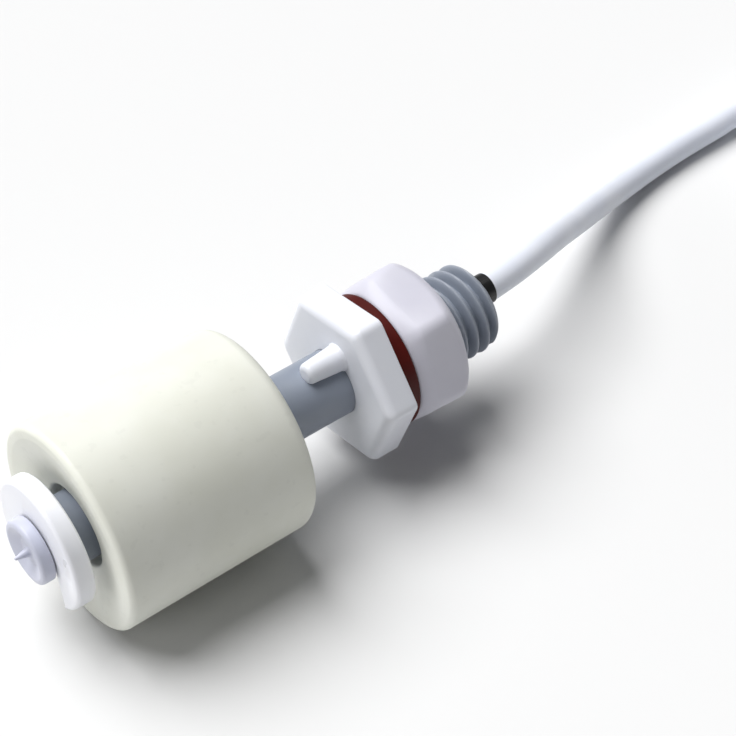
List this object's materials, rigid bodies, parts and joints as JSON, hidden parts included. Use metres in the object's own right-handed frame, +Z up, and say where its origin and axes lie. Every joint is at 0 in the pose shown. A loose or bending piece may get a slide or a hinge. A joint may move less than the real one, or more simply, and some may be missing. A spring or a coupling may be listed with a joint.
{
  "type": "float level switch",
  "caption": "Plastic float level switch: sliding magnet float on a closed stem, clip, hexagonal shoulder, gasket and nut on an M10 thread, with a lead.",
  "frame": {"origin": "below the middle of the switch, on the surface it lies on, cable left out", "axes": "+X along the stem towards the cable, +Z up, switch lying on its float"},
  "size_m": [0.148, 0.0415, 0.0225],
  "materials": {
    "stem_grey": "satin moulded",
    "white_plastic": "semi-gloss moulded",
    "nut_lilac": "semi-gloss moulded",
    "float_cream": "fine matt",
    "gasket_red": "matt silicone",
    "sleeve_black": "satin",
    "cable_white": "satin",
    "core_red": "satin",
    "core_black": "satin",
    "tinned": "tinned",
    "reed_metal": "plated",
    "reed_glass": "clear, greenish",
    "ferrite": "sintered",
    "potting": "cured resin"
  },
  "bodies": {
    "stem": {"stem_body": "stem_grey", "hex_flange": "white_plastic", "retaining_clip": "white_plastic", "reed_glass": "reed_glass", "reed_blade_far": "reed_metal", "reed_blade_near": "reed_metal", "joint_sleeve_far": "sleeve_black", "joint_sleeve_near": "sleeve_black", "core_near": "core_red", "core_far": "core_black", "potting_plug": "potting", "exit_sleeve": "sleeve_black", "cable": "cable_white", "cable_coil": "cable_white", "coil_tie": "sleeve_black", "core_end_red": "core_red", "core_end_black": "core_black", "tinned_end_red": "tinned", "tinned_end_black": "tinned"},
    "magnet_carrier": {"float_magnet": "ferrite"},
    "float": {"float_shell": "float_cream", "float_lid": "float_cream"},
    "gasket_carrier": {"gasket": "gasket_red"},
    "nut": {"hex_nut": "nut_lilac"}
  },
  "joints": [
    {"name": "float_travel", "type": "slide", "parent": "stem", "child": "magnet_carrier", "axis": [1, 0, 0], "range_m": [-0.0015, 0.0056]},
    {"name": "float_spin", "type": "hinge", "parent": "magnet_carrier", "child": "float", "pos_m": [0, 0, 0.01125], "axis": [1, 0, 0], "continuous": true},
    {"name": "gasket_slide", "type": "slide", "parent": "stem", "child": "gasket_carrier", "axis": [1, 0, 0], "range_m": [0, 0.006]},
    {"name": "nut_turn", "type": "hinge", "parent": "gasket_carrier", "child": "nut", "pos_m": [0, 0, 0.01125], "axis": [1, 0, 0], "range_deg": [0, 1441]}
  ],
  "couplings": [
    {"joint": "nut_turn", "follows": "gasket_slide", "rad_per_m": 4188.8}
  ]
}
